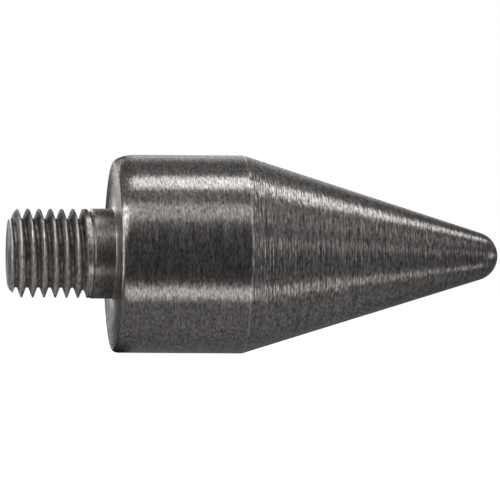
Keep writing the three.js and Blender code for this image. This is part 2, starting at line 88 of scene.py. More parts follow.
# Gap between pieces that touch, and the broken edges of a machined corner: the usual one, and the
# finer one where two pieces meet on the outside
SEAT_GAP = 0.05
EDGE = 0.12
FINE_EDGE = 0.06

# ------------ sizes taken from the CAD frame


class Span:
    """Where a node that is round about X starts and ends, and its outside radius, in millimetres."""

    def __init__(self, node):
        low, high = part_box(node)
        self.start = low.x / MM
        self.end = high.x / MM
        self.radius = high.z / MM
        self.middle = (self.start + self.end) / 2


def centre_of(node):
    """Centre of a node's box and half its width along X, in millimetres."""
    low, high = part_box(node)
    return (low + high) / 2 / MM, (high.x - low.x) / 2 / MM


# ------------ profiles


def arc(centre_place, centre_radius, size, from_degrees, to_degrees, steps):
    """Corners along a round stretch. Angle 0 points along +X, and a quarter turn points outwards."""
    corners = []
    for step in range(steps + 1):
        angle = math.radians(from_degrees + (to_degrees - from_degrees) * step / steps)
        place = centre_place + size * math.cos(angle)
        radius = centre_radius + size * math.sin(angle)
        corners.append((place, radius, 0))
    return corners


def fillet(before, here, after, rounding):
    """Points of the small arc that rounds the corner at here."""
    back = before - here
    ahead = after - here
    half = back.angle(ahead) / 2
    reach = min(rounding / math.tan(half), ROUNDING_REACH * back.length, ROUNDING_REACH * ahead.length)
    size = reach * math.tan(half)
    towards_centre = (back.normalized() + ahead.normalized()).normalized()
    centre = here + towards_centre * (size / math.sin(half))
    spoke = here + back.normalized() * reach - centre
    turn = -spoke.angle_signed(here + ahead.normalized() * reach - centre)
    points = []
    for step in range(ROUNDING_STEPS + 1):
        cosine = math.cos(turn * step / ROUNDING_STEPS)
        sine = math.sin(turn * step / ROUNDING_STEPS)
        point = Vector((spoke.x * cosine - spoke.y * sine, spoke.x * sine + spoke.y * cosine))
        points.append(centre + point)
    return points


def rounded(corners, closed):
    """The profile through the corners, each rounded by its own amount."""
    points = []
    count = len(corners)
    for number, (place, radius, rounding) in enumerate(corners):
        here = Vector((place, radius))
        is_end = not closed and number in (0, count - 1)
        if rounding == 0 or is_end:
            points.append(here)
            continue
        before = Vector(corners[number - 1][:2])
        after = Vector(corners[(number + 1) % count][:2])
        points.extend(fillet(before, here, after, rounding))
    return points


# ------------ meshes


def mesh_from(name, vertices, faces):
    """A mesh in metres from vertices in millimetres, with all its faces turned outwards."""
    mesh = bpy.data.meshes.new(name)
    mesh.from_pydata([Vector(vertex) * MM for vertex in vertices], [], faces)
    work = bmesh.new()
    work.from_mesh(mesh)
    bmesh.ops.remove_doubles(work, verts=work.verts, dist=MERGE_DISTANCE)
    bmesh.ops.recalc_face_normals(work, faces=work.faces)
    work.to_mesh(mesh)
    work.free()
    return mesh


def strip_faces(rows, closed):
    """Faces between following rows of vertices, with coinciding corners left out."""
    pairs = list(zip(rows, rows[1:]))
    if closed:
        pairs.append((rows[-1], rows[0]))
    faces = []
    for lower, upper in pairs:
        count = len(lower)
        for number in range(count):
            following = (number + 1) % count
            corners = (lower[number], lower[following], upper[following], upper[number])
            corners = list(dict.fromkeys(corners))
            if len(corners) > 2:
                faces.append(corners)
    return faces


def on_circle(place, radius, angle):
    """A point round the axis. Angle 0 is straight up, and a positive angle turns towards -Y."""
    return (place, -radius * math.sin(angle), radius * math.cos(angle))


def turned(name, corners, closed, segments=INNER_SEGMENTS):
    """Revolves a profile about X. An open profile starts and ends on the axis."""
    vertices = []
    rows = []
    for place, radius in rounded(corners, closed):
        first = len(vertices)
        if radius == 0:
            vertices.append((place, 0, 0))
            rows.append([first] * segments)
            continue
        for segment in range(segments):
            vertices.append(on_circle(place, radius, FULL_TURN * segment / segments))
        rows.append(list(range(first, first + segments)))
    return mesh_from(name, vertices, strip_faces(rows, closed))


def swept_ring(name, section_at, segments=INNER_SEGMENTS):
    """A ring whose section, a list of (place, radius), changes with the angle."""
    vertices = []
    columns = []
    for segment in range(segments):
        angle = FULL_TURN * segment / segments
        first = len(vertices)
        section = section_at(angle)
        vertices.extend(on_circle(place, radius, angle) for place, radius in section)
        columns.append(list(range(first, first + len(section))))
    return mesh_from(name, vertices, strip_faces(columns, True))


def plate(name, outline, start, end):
    """A flat plate across X from a closed outline of (y, z) points."""
    count = len(outline)
    vertices = [(place, y, z) for place in (start, end) for y, z in outline]
    back = list(range(count))
    front = list(range(count, 2 * count))
    faces = [back[::-1], front] + strip_faces([back, front], False)
    return mesh_from(name, vertices, faces)


def bar_corners(half_length, radius, rounding):
    """Profile of a short solid bar about the origin."""
    return [
        (-half_length, 0, 0),
        (-half_length, radius, rounding),
        (half_length, radius, rounding),
        (half_length, 0, 0),
    ]


def sphere(name, radius, steps):
    """A ball about the origin, turned from a half circle."""
    profile = arc(0, 0, radius, 180, 0, steps)
    profile[0] = (-radius, 0, 0)
    profile[-1] = (radius, 0, 0)
    return turned(name, profile, False, 2 * steps)


def moved(mesh, centre):
    """The same mesh, moved from the origin to a centre in millimetres."""
    mesh.transform(Matrix.Translation(centre * MM))
    return mesh


def joined(name, meshes):
    """One mesh that holds all the given ones."""
    work = bmesh.new()
    for mesh in meshes:
        work.from_mesh(mesh)
        bpy.data.meshes.remove(mesh)
    result = bpy.data.meshes.new(name)
    work.to_mesh(result)
    work.free()
    return result


def combined(mesh, tool_mesh, operation):
    """The mesh cut by the tool (DIFFERENCE) or held within it (INTERSECT)."""
    holder = bpy.data.objects.new("holder", mesh)
    tool = bpy.data.objects.new("tool", tool_mesh)
    bpy.context.scene.collection.objects.link(holder)
    bpy.context.scene.collection.objects.link(tool)
    cut = holder.modifiers.new("cut", "BOOLEAN")
    cut.operation = operation
    cut.solver = "MANIFOLD"
    cut.object = tool
    graph = bpy.context.evaluated_depsgraph_get()
    result = bpy.data.meshes.new_from_object(holder.evaluated_get(graph))
    bpy.data.objects.remove(holder)
    bpy.data.objects.remove(tool)
    result.name = mesh.name
    return result


def show(node, mesh, slot):
    """Shades a mesh and shows it in place of a CAD node, on that node's body."""
    for polygon in mesh.polygons:
        polygon.use_smooth = True
    mesh.set_sharp_from_angle(angle=SHARP_ANGLE)
    piece = bpy.data.objects.new(f"{node}_turned", mesh)
    bpy.context.scene.collection.objects.link(piece)
    shading = piece.modifiers.new("shading", "WEIGHTED_NORMAL")
    shading.keep_sharp = True
    mesh.materials.clear()
    mesh.materials.append(MATERIALS[slot])
    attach(piece, BODY_OF_NODE[node])
    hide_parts(node)


def show_ring(node, slot, corners):
    """Shows the ring that a closed profile makes."""
    show(node, turned(node, corners, True), slot)


def ring_corners(node, bore, edge=EDGE):
    """Profile of a ring with a straight bore and broken edges, as wide and as large as a CAD node."""
    at = Span(node)
    return [
        (at.start, bore, edge),
        (at.start, at.radius, edge),
        (at.end, at.radius, edge),
        (at.end, bore, edge),
    ]


# ------------ outside of the tool

NECK_RADIUS = 7.95
NECK_START = -3.9
NECK_FILLET = 0.3
# The rear edge is broken by hand, least at the bottom and most on top, and falls off quickly from there
REAR_BLEND_LENGTH = (1.0, 4.0)
REAR_BLEND_DEPTH = (0.6, 1.5)
REAR_BLEND_FALL = 3
REAR_BLEND_STEPS = 14
PLUG_BORE = 12.5
PLUG_BORE_END = 4.5
BEARING_BORE = 12
BEARING_BORE_END = 20.35
LIP_BORE = 8.9


def rear_blend(start, radius, angle):
    """Corners of the soft edge between the rear face and the outside, at an angle from the top."""
    above = ((1 + math.cos(angle)) / 2) ** REAR_BLEND_FALL
    length = REAR_BLEND_LENGTH[0] + (REAR_BLEND_LENGTH[1] - REAR_BLEND_LENGTH[0]) * above
    depth = REAR_BLEND_DEPTH[0] + (REAR_BLEND_DEPTH[1] - REAR_BLEND_DEPTH[0]) * above
    corners = []
    for step in range(REAR_BLEND_STEPS + 1):
        turn = math.pi / 2 * step / REAR_BLEND_STEPS
        place = start + length * (1 - math.cos(turn))
        corners.append((place, radius - depth * (1 - math.sin(turn)), 0))
    return corners


def housing_sleeve():
    """The sleeve, with its stepped bore and its uneven rear edge."""
    at = Span("housing_sleeve")

    def section(angle):
        """The section at an angle from the top."""
        corners = [(at.start, PLUG_BORE, FINE_EDGE)] + rear_blend(at.start, at.radius, angle) + [
            (at.end, at.radius, FINE_EDGE),
            (at.end, LIP_BORE, EDGE),
            (BEARING_BORE_END, LIP_BORE, EDGE),
            (BEARING_BORE_END, BEARING_BORE, EDGE),
            (PLUG_BORE_END, BEARING_BORE, EDGE),
            (PLUG_BORE_END, PLUG_BORE, EDGE),
        ]
        return rounded(corners, True)

    show("housing_sleeve", swept_ring("housing_sleeve", section, SEGMENTS), "housing_steel")


CONE_START = 23.0
CONE_HALF_DEGREES = 17.5
RUNNING_GAP = 0.03
NOSE_STEPS = 24
STEM_RADIUS = 6
STEM_START = 5.2
STEM_CHAMFER = 0.4
JOURNAL_RADIUS = 3.5
JOURNAL_ROUNDING = 0.3
CLIP_GROOVE_RADIUS = 5.6
CLIP_GROOVE = (13.2, 14.3)
SHOULDER_RADIUS = 7.1
SHOULDER_START = 20.35


def center_point():
    """The cone with its round nose, and the shoulder, stem and tail journal behind it."""
    at = Span("center_point")
    cone_start = Span("housing_sleeve").end + RUNNING_GAP
    half = math.radians(CONE_HALF_DEGREES)
    # The nose touches the cone, so its radius follows from where the cone would end in a point
    sharp_end = CONE_START + at.radius / math.tan(half)
    nose_radius = (sharp_end - at.end) / (1 / math.sin(half) - 1)
    nose = arc(at.end - nose_radius, 0, nose_radius, 90 - CONE_HALF_DEGREES, 0, NOSE_STEPS)
    nose[-1] = (at.end, 0, 0)
    corners = [
        (at.start, 0, 0),
        (at.start, JOURNAL_RADIUS, JOURNAL_ROUNDING),
        (STEM_START, JOURNAL_RADIUS, EDGE),
        (STEM_START, STEM_RADIUS, STEM_CHAMFER),
        (CLIP_GROOVE[0], STEM_RADIUS, 0),
        (CLIP_GROOVE[0], CLIP_GROOVE_RADIUS, 0),
        (CLIP_GROOVE[1], CLIP_GROOVE_RADIUS, 0),
        (CLIP_GROOVE[1], STEM_RADIUS, 0),
        (SHOULDER_START, STEM_RADIUS, EDGE),
        (SHOULDER_START, SHOULDER_RADIUS, EDGE),
        (cone_start, SHOULDER_RADIUS, EDGE),
        (cone_start, at.radius, FINE_EDGE),
        (CONE_START, at.radius, 0),
    ] + nose
    show("center_point", turned("center_point", corners, False, SEGMENTS), "point_steel")


# ------------ threaded shank

PITCH = 2
THREAD_RADIUS = 7.85
THREAD_DEPTH = 1.8
FLANK_DEGREES = 20.5
ROOT_ROUNDING = 0.3
CREST_ROUNDING = 0.16
THREAD_SEGMENTS = 180
THREAD_ARC_STEPS = 6
FLANK_SUPPORTS = (0.08, 0.92)
# Straight above the axis, the middle of a groove lies here, beyond the shank's end
FIRST_GROOVE = -22.2
GROOVES = 15
RUN_OUT_START = -6.5
RUN_OUT_END = -3.5
RUN_OUT_LIFT = 2.1
DRAW_BACK_SLOPE = 2
END_RADIUS = 6.2
END_CHAMFER_LENGTH = 1.45
END_EDGE = 0.2
END_DOME = 0.24
NECK_LINE_WIDTH = 0.07
NECK_LINE_DEPTH = 0.25
FLANGE_RADIUS = 12.45
O_RING_GROOVE = (1.9, 3.5)
O_RING_GROOVE_RADIUS = 11.3
TAIL_BORE = 5.5
TAIL_BORE_START = -3.6


def flank(start, end):
    """Two points on a straight flank, close to its ends, that keep its shading flat."""
    points = []
    for share in FLANK_SUPPORTS:
        place = start[0] + (end[0] - start[0]) * share
        radius = start[1] + (end[1] - start[1]) * share
        points.append((place, radius))
    return points


def thread_pitch():
    """(place, radius) points along one pitch of thread, starting in a groove whose middle is at 0."""
    root_centre = THREAD_RADIUS - THREAD_DEPTH + ROOT_ROUNDING
    crest_centre = THREAD_RADIUS - CREST_ROUNDING
    root_turn = (180 + FLANK_DEGREES, 360 - FLANK_DEGREES)
    crest_turn = (180 - FLANK_DEGREES, FLANK_DEGREES)
    root = arc(0, root_centre, ROOT_ROUNDING, *root_turn, THREAD_ARC_STEPS)
    crest = arc(PITCH / 2, crest_centre, CREST_ROUNDING, *crest_turn, THREAD_ARC_STEPS)
    root = [corner[:2] for corner in root]
    crest = [corner[:2] for corner in crest]
    next_root = (root[0][0] + PITCH, root[0][1])
    return root + flank(root[-1], crest[0]) + crest + flank(crest[-1], next_root)


def cutter_lift(place):
    """How far the thread cutter has drawn back from its full depth. Past the neck it clears the flange."""
    share = (place - RUN_OUT_START) / (RUN_OUT_END - RUN_OUT_START)
    share = min(max(share, 0), 1)
    beyond = max(place - RUN_OUT_END, 0)
    return RUN_OUT_LIFT * (1 - math.cos(share * math.pi / 2)) + beyond * DRAW_BACK_SLOPE


def helical_rows(points):
    """Vertices, and a row of them for each point: one turn round the bar that climbs one pitch."""
    vertices = []
    rows = []
    for place, radius in points:
        first = len(vertices)
        for segment in range(THREAD_SEGMENTS):
            share = segment / THREAD_SEGMENTS
            along = place + PITCH * share
            vertices.append(on_circle(along, radius + cutter_lift(along), FULL_TURN * share))
        rows.append(list(range(first, len(vertices))))
    return vertices, rows


def ragged_end(vertices, turn, step_back):
    """Closes an end of the bar: a fan from the axis to one turn of a row and back along the start line."""
    rim = turn + step_back[::-1]
    place = sum(vertices[corner][0] for corner in turn) / len(turn)
    vertices.append((place, 0, 0))
    hub = len(vertices) - 1
    return [(hub, here, there) for here, there in zip(rim, rim[1:] + rim[:1])]


def without_unused(vertices, faces):
    """Leaves out the vertices that no face uses, and renumbers the corners of the faces to match."""
    used = sorted({corner for face in faces for corner in face})
    new_index = {old: new for new, old in enumerate(used)}
    renumbered = [[new_index[corner] for corner in face] for face in faces]
    return [vertices[old] for old in used], renumbered


def thread_blank():
    """A bar with the thread cut all along it. Its ragged ends lie outside the shank."""
    pitch = thread_pitch()
    points = []
    for groove in range(GROOVES):
        points.extend((place + FIRST_GROOVE + PITCH * groove, radius) for place, radius in pitch)
    vertices, rows = helical_rows(points)
    # After a full turn, a row runs into the row one pitch further on
    step = len(pitch)
    starts = [row[0] for row in rows]
    for row, next_turn in zip(rows, starts[step:]):
        row.append(next_turn)
    whole = rows[:-step]
    faces = []
    for lower, upper in zip(whole, whole[1:]):
        for segment in range(THREAD_SEGMENTS):
            faces.append((lower[segment], lower[segment + 1], upper[segment + 1], upper[segment]))
    faces.extend(ragged_end(vertices, whole[0], starts[1:step]))
    faces.extend(ragged_end(vertices, whole[-1], starts[len(whole):-1]))
    return mesh_from("thread_blank", *without_unused(vertices, faces))


def threaded_shank():
    """The shank with its thread, its plain neck, and the flange inside the housing."""
    at = Span("threaded_shank")
    corners = [
        (at.start, 0, 0),
        (at.start + END_DOME, END_RADIUS, END_EDGE),
        (at.start + END_DOME + END_CHAMFER_LENGTH, THREAD_RADIUS, 0),
        (NECK_START - 2 * NECK_LINE_WIDTH, THREAD_RADIUS, 0),
        (NECK_START - NECK_LINE_WIDTH, THREAD_RADIUS - NECK_LINE_DEPTH, 0),
        (NECK_START, NECK_RADIUS, 0),
        (0, NECK_RADIUS, NECK_FILLET),
        (0, FLANGE_RADIUS, FINE_EDGE),
        (O_RING_GROOVE[0], FLANGE_RADIUS, EDGE),
        (O_RING_GROOVE[0], O_RING_GROOVE_RADIUS, EDGE),
        (O_RING_GROOVE[1], O_RING_GROOVE_RADIUS, EDGE),
        (O_RING_GROOVE[1], FLANGE_RADIUS, EDGE),
        (at.end, FLANGE_RADIUS, EDGE),
        (at.end, TAIL_BORE, EDGE),
        (TAIL_BORE_START, TAIL_BORE, EDGE),
        (TAIL_BORE_START, 0, 0),
    ]
    bar = turned("threaded_shank", corners, False, SEGMENTS)
    show("threaded_shank", combined(bar, thread_blank(), "INTERSECT"), "shank_steel")


# ------------ front ball bearing

RACE_EDGE = 0.3
GROOVE_STEPS = 8
FRONT_GROOVE = 1.68
INNER_LAND = 7.75
OUTER_LAND = 10.25
FRONT_CAGE_BORE = 8.35
FRONT_POCKET = 1.74
BALL_STEPS = 24
STEM_SEAT = STEM_RADIUS + SEAT_GAP


def show_balls(balls):
    """The balls of one bearing."""
    for node in balls:
        centre, radius = centre_of(node)
        show(node, moved(sphere(node, radius, BALL_STEPS), centre), "roller_steel")


def members(prefix):
    """The CAD nodes whose names start with that prefix, in order."""
    return sorted(node for node in frame["nodes"] if node.startswith(prefix))


def ball_ring(node):
    """Where the ring of balls that a ball belongs to lies along X, and its radius."""
    centre, _ = centre_of(node)
    return centre.x, math.hypot(centre.y, centre.z)


def front_bearing():
    """The front ball bearing: two races with their grooves, the cage and the balls."""
    balls = members("front_ball_")
    place, circle = ball_ring(balls[0])
    outer = Span("front_bearing_outer_race")
    # How many degrees the edge of each groove lies above the middle of the balls
    rise = math.degrees(math.asin(abs(OUTER_LAND - circle) / FRONT_GROOVE))
    corners = [
        (outer.start, OUTER_LAND, EDGE),
        (outer.start, outer.radius, RACE_EDGE),
        (outer.end, outer.radius, RACE_EDGE),
        (outer.end, OUTER_LAND, EDGE),
    ] + arc(place, circle, FRONT_GROOVE, rise, 180 - rise, GROOVE_STEPS)
    show_ring("front_bearing_outer_race", "race_steel", corners)
    inner = Span("front_bearing_inner_race")
    corners = [
        (inner.end, INNER_LAND, EDGE),
        (inner.end, STEM_SEAT, RACE_EDGE),
        (inner.start, STEM_SEAT, RACE_EDGE),
        (inner.start, INNER_LAND, EDGE),
    ] + arc(place, circle, FRONT_GROOVE, 180 + rise, 360 - rise, GROOVE_STEPS)
    show_ring("front_bearing_inner_race", "race_steel", corners)
    show_cage("front_bearing_cage", FRONT_CAGE_BORE, balls, FRONT_POCKET)
    show_balls(balls)


def show_cage(node, bore, balls, pocket):
    """A brass ring with a round pocket for each ball."""
    ring = turned(node, ring_corners(node, bore), True)
    cutters = []
    for name in balls:
        centre, _ = centre_of(name)
        cutters.append(moved(sphere("pocket", pocket, GROOVE_STEPS), centre))
    show(node, combined(ring, joined("pockets", cutters), "DIFFERENCE"), "cage_brass")


# ------------ thrust bearing

THRUST_GROOVE = 1.48
THRUST_POCKET = 1.52
HOUSING_WASHER_BORE = 6.3
THRUST_CAGE_BORE = 6.2


def thrust_bearing():
    """The thrust bearing: two washers with their grooves, the cage and the balls."""
    balls = members("thrust_ball_")
    place, circle = ball_ring(balls[0])
    shaft = Span("thrust_shaft_washer")
    half = math.degrees(math.acos((shaft.start - place) / THRUST_GROOVE))
    corners = [
        (shaft.start, shaft.radius, EDGE),
        (shaft.end, shaft.radius, EDGE),
        (shaft.end, STEM_SEAT, EDGE),
        (shaft.start, STEM_SEAT, EDGE),
    ] + arc(place, circle, THRUST_GROOVE, -half, half, GROOVE_STEPS)
    show_ring("thrust_shaft_washer", "race_steel", corners)
    fixed = Span("thrust_housing_washer")
    corners = [
        (fixed.end, HOUSING_WASHER_BORE, EDGE),
        (fixed.start, HOUSING_WASHER_BORE, EDGE),
        (fixed.start, fixed.radius, EDGE),
        (fixed.end, fixed.radius, EDGE),
    ] + arc(place, circle, THRUST_GROOVE, 180 - half, 180 + half, GROOVE_STEPS)
    show_ring("thrust_housing_washer", "race_steel", corners)
    show_cage("thrust_cage", THRUST_CAGE_BORE, balls, THRUST_POCKET)
    show_balls(balls)


# ------------ needle bearing

SHELL_BORE = 5.1
SHELL_LIP_BORE = 4.2
SHELL_LIP = 0.4
SHELL_ROUNDING = 0.4
SHELL_EDGE = 0.1
NEEDLE_CAGE_BORE = 3.9
NEEDLE_CAGE_EDGE = 0.08
# Half the length and half the width of a window in the cage, and half the height of the tool that cuts it
NEEDLE_POCKET = (2.65, 0.82)
WINDOW_HALF_HEIGHT = 1
WINDOW_CORNERS = ((-1, -1), (1, -1), (1, 1), (-1, 1))
NEEDLE_ROUNDING = 0.25


def needle_bearing():
    """The needle bearing: a drawn shell with a lip at each end, the cage and the needles."""
    shell = Span("needle_bearing_shell")
    corners = [
        (shell.start, SHELL_LIP_BORE, SHELL_EDGE),
        (shell.start, shell.radius, SHELL_ROUNDING),
        (shell.end, shell.radius, SHELL_ROUNDING),
        (shell.end, SHELL_LIP_BORE, SHELL_EDGE),
        (shell.end - SHELL_LIP, SHELL_LIP_BORE, SHELL_EDGE),
        (shell.end - SHELL_LIP, SHELL_BORE, SHELL_EDGE),
        (shell.start + SHELL_LIP, SHELL_BORE, SHELL_EDGE),
        (shell.start + SHELL_LIP, SHELL_LIP_BORE, SHELL_EDGE),
    ]
    show_ring("needle_bearing_shell", "race_steel", corners)
    needles = members("needle_roller_")
    needle_cage(needles)
    for node in needles:
        show(node, needle(node), "roller_steel")


def needle(node):
    """One needle, with rounded ends."""
    centre, half_length = centre_of(node)
    low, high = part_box(node)
    radius = (high.z - low.z) / 2 / MM
    corners = bar_corners(half_length, radius, NEEDLE_ROUNDING)
    return moved(turned(node, corners, False, BAR_SEGMENTS), centre)


def needle_cage(needles):
    """A thin ring with a window for each needle."""
    corners = ring_corners("needle_bearing_cage", NEEDLE_CAGE_BORE, NEEDLE_CAGE_EDGE)
    ring = turned("needle_bearing_cage", corners, True)
    cutter = joined("windows", [window(centre_of(node)[0]) for node in needles])
    show("needle_bearing_cage", combined(ring, cutter, "DIFFERENCE"), "spacer_steel")


def window(centre):
    """A block that cuts the window for the needle with that centre."""
    outward = Vector((0, centre.y, centre.z)).normalized()
    sideways = Vector((1, 0, 0)).cross(outward)
    half_length, half_width = NEEDLE_POCKET
    rows = []
    vertices = []
    for away in (-WINDOW_HALF_HEIGHT, WINDOW_HALF_HEIGHT):
        first = len(vertices)
        for along, side in WINDOW_CORNERS:
            offset = Vector((along * half_length, 0, 0)) + sideways * (side * half_width) + outward * away
            vertices.append(centre + offset)
        rows.append(list(range(first, len(vertices))))
    faces = [rows[0][::-1], rows[1]] + strip_faces(rows, False)
    return mesh_from("window", vertices, faces)


# ------------ rings, spring and seals

RING_BORE = 5.7
RING_BODY_RADIUS = 7.2
LUG_RADIUS = 8.8
LUG_HOLE_CIRCLE = 7.7
LUG_HOLE_RADIUS = 0.45
# Angles from the middle of the ring's opening: where a lug starts, where its outside ends, and where
# the plain ring goes on
OPENING_ANGLE = 0.16
LUG_END_ANGLE = 0.44
LUG_ANGLE = 0.5
LUG_STEPS = 4
RING_STEPS = 60
WAVES = 4
SPRING_BORE = 10.5
SPRING_THICKNESS = 0.3
SEAL_BORE = 7.9
SEAL_LIP_BORE = 7.18
SEAL_LIP_ROOT = 7.6
SEAL_LIP_LENGTH = 0.5
SEAL_FRONT_LENGTH = 0.9
SEAL_ROUNDING = 0.1
SEAL_LIP_ROUNDING = 0.08
O_RING_STEPS = 16
O_RING_BORE = 11.35
SHIM_BORE = 6.6
REAR_SPACER_BORE = 10.6
OUTER_SPACER_BORE = 10.4


def round_the_ring(radius, from_angle, to_angle, steps):
    """(y, z) points round X. Angle 0 points straight down, where the retaining ring opens."""
    points = []
    for step in range(steps + 1):
        angle = from_angle + (to_angle - from_angle) * step / steps
        points.append((radius * math.sin(angle), -radius * math.cos(angle)))
    return points


def retaining_ring():
    """An open ring with two lugs, each with a hole for the pliers."""
    at = Span("retaining_ring")
    far = FULL_TURN - OPENING_ANGLE
    outline = (
        round_the_ring(LUG_RADIUS, OPENING_ANGLE, LUG_END_ANGLE, LUG_STEPS)
        + round_the_ring(RING_BODY_RADIUS, LUG_ANGLE, FULL_TURN - LUG_ANGLE, RING_STEPS)
        + round_the_ring(LUG_RADIUS, FULL_TURN - LUG_END_ANGLE, far, LUG_STEPS)
        + round_the_ring(RING_BORE, far, OPENING_ANGLE, RING_STEPS)
    )
    body = plate("retaining_ring", outline, at.start, at.end)
    holes = []
    for side in (-1, 1):
        angle = side * (OPENING_ANGLE + LUG_ANGLE) / 2
        centre = (at.middle, LUG_HOLE_CIRCLE * math.sin(angle), -LUG_HOLE_CIRCLE * math.cos(angle))
        pin = turned("hole", bar_corners(at.end - at.start, LUG_HOLE_RADIUS, 0), False, BAR_SEGMENTS)
        holes.append(moved(pin, Vector(centre)))
    show("retaining_ring", combined(body, joined("holes", holes), "DIFFERENCE"), "spring_steel")


def wave_spring():
    """A thin flat ring bent into waves."""
    at = Span("wave_spring")
    swing = (at.end - at.start - SPRING_THICKNESS) / 2
    half = SPRING_THICKNESS / 2

    def section(angle):
        """The section, a thin rectangle, at an angle from the top."""
        place = at.middle + swing * math.cos(WAVES * angle)
        return [
            (place - half, SPRING_BORE),
            (place - half, at.radius),
            (place + half, at.radius),
            (place + half, SPRING_BORE),
        ]

    show("wave_spring", swept_ring("wave_spring", section, SEGMENTS), "spring_steel")


def front_seal():
    """A rubber ring whose lip runs on the shoulder of the point."""
    at = Span("front_seal")
    corners = [
        (at.start, SEAL_BORE, SEAL_ROUNDING),
        (at.start, at.radius, SEAL_ROUNDING),
        (at.end, at.radius, SEAL_ROUNDING),
        (at.end, SEAL_LIP_BORE, SEAL_LIP_ROUNDING),
        (at.end - SEAL_LIP_LENGTH, SEAL_LIP_BORE, SEAL_LIP_ROUNDING),
        (at.end - SEAL_FRONT_LENGTH, SEAL_LIP_ROOT, SEAL_ROUNDING),
        (at.end - SEAL_FRONT_LENGTH, SEAL_BORE, SEAL_ROUNDING),
    ]
    show_ring("front_seal", "seal_rubber", corners)


def shank_o_ring():
    """A rubber ring of oval section, as it is when pressed into its groove."""
    at = Span("shank_o_ring")
    half_height = (at.radius - O_RING_BORE) / 2
    half_width = (at.end - at.start) / 2
    corners = []
    for step in range(O_RING_STEPS):
        angle = FULL_TURN * step / O_RING_STEPS
        place = at.middle + half_width * math.cos(angle)
        radius = at.radius - half_height + half_height * math.sin(angle)
        corners.append((place, radius, 0))
    show_ring("shank_o_ring", "seal_rubber", corners)


def plain_rings():
    """The spacers and the shim, which are plain rings."""
    bores = {
        "inner_spacer": STEM_SEAT,
        "rear_spacer_tube": REAR_SPACER_BORE,
        "outer_spacer": OUTER_SPACER_BORE,
        "shim_washer": SHIM_BORE,
    }
    for node, bore in bores.items():
        show_ring(node, "spacer_steel", ring_corners(node, bore))


# ------------ shader nodes


def feed(tree, value, socket):
    """Links a value that comes from another node, and sets any other value directly."""
    if isinstance(value, bpy.types.NodeSocket):
        tree.links.new(value, socket)
    else:
        socket.default_value = value


def shader_node(tree, kind, inputs=None, **settings):
    """Adds a shader node with its settings and inputs."""
    made = tree.nodes.new(kind)
    for name, value in settings.items():
        setattr(made, name, value)
    for name, value in (inputs or {}).items():
        feed(tree, value, made.inputs[name])
    return made


def math_node(tree, operation, first, second):
    """The result of a sum, a product or another operation on two values."""
    return shader_node(tree, "ShaderNodeMath", {0: first, 1: second}, operation=operation).outputs[0]


def product(tree, first, *others):
    """All the values multiplied, from left to right."""
    result = first
    for other in others:
        result = math_node(tree, "MULTIPLY", result, other)
    return result


def ranged(tree, value, from_low, from_high, to_low, to_high):
    """Maps a range of values to another, held within it."""
    return shader_node(tree, "ShaderNodeMapRange", {
        "Value": value,
        "From Min": from_low,
        "From Max": from_high,
        "To Min": to_low,
        "To Max": to_high,
    }).outputs[0]


def ramp(tree, distance, start, end, first, last):
    """Goes from the first value to the last while a distance goes from start to end, in millimetres."""
    return ranged(tree, distance, start * MM, end * MM, first, last)


def around(middle, swing):
    """A range that reaches a share of its middle to each side."""
    return middle * (1 - swing), middle * (1 + swing)


def mixed(tree, share, first, second):
    """The first value where the share is 0, and the second where it is 1."""
    return shader_node(tree, "ShaderNodeMix", {"Factor": share, "A": first, "B": second}).outputs[0]


def new_material(name):
    """A new material, its node tree and its Principled shader."""
    material = bpy.data.materials.new(name)
    material.use_nodes = True
    tree = material.node_tree
    return material, tree, tree.nodes["Principled BSDF"]


def tinted(tree, shader, colour, shade):
    """Gives the shader a colour whose shade changes from place to place."""
    scaled = shader_node(tree, "ShaderNodeVectorMath", {0: colour, "Scale": shade}, operation="SCALE")
    feed(tree, scaled.outputs[0], shader.inputs["Base Color"])


def bump(tree, height, distance):
    """A bump node for that height, in metres."""
    return shader_node(tree, "ShaderNodeBump", {"Height": height, "Distance": distance, "Strength": 1.0})


# ------------ marks of turning

# Share of the radius that is added to the place along X, so that marks show on faces and cylinders alike
TURN_SLANT = 0.7
# Parts of the noise's own range that shades are spread over
NOISE_SPREAD = (0.25, 0.75)
NOISE_MIDDLE = (0.3, 0.7)
# Places in the pattern that keep the noises of one material from looking alike
STREAK_SHIFT = 40.0
CLOUD_SHIFT = 60.0
WAVE_SHIFT = 80.0
GROOVE_SHIFT = 120.0
SCRATCH_SHIFT = 160.0
WEAR_SHIFT = 200.0


class Turning:
    """Sockets that say where a point lies on a turned piece."""

    def __init__(self, tree):
        place = shader_node(tree, "ShaderNodeTexCoord").outputs["Object"]
        axes = shader_node(tree, "ShaderNodeSeparateXYZ", {"Vector": place}).outputs
        self.x, self.y, self.z = axes["X"], axes["Y"], axes["Z"]
        across = shader_node(tree, "ShaderNodeCombineXYZ", {"Y": self.y, "Z": self.z}).outputs[0]
        length = shader_node(tree, "ShaderNodeVectorMath", {0: across}, operation="LENGTH")
        self.radius = length.outputs["Value"]
        slanted = math_node(tree, "MULTIPLY", self.radius, TURN_SLANT)
        self.along = math_node(tree, "ADD", self.x, slanted)


def ring_noise(tree, at, along_per_metre, around_per_metre, detail=2.0, shift=0.0):
    """Noise with that many marks per metre along the axis and across it."""
    scaled = math_node(tree, "MULTIPLY", at.along, along_per_metre)
    vector = shader_node(tree, "ShaderNodeCombineXYZ", {
        "X": math_node(tree, "ADD", scaled, shift),
        "Y": math_node(tree, "MULTIPLY", at.y, around_per_metre),
        "Z": math_node(tree, "MULTIPLY", at.z, around_per_metre),
    }).outputs[0]
    inputs = {"Vector": vector, "Scale": 1.0, "Detail": detail}
    return shader_node(tree, "ShaderNodeTexNoise", inputs).outputs[0]


# ------------ dark turned steel

DARK_STEEL = (0.49, 0.462, 0.445)
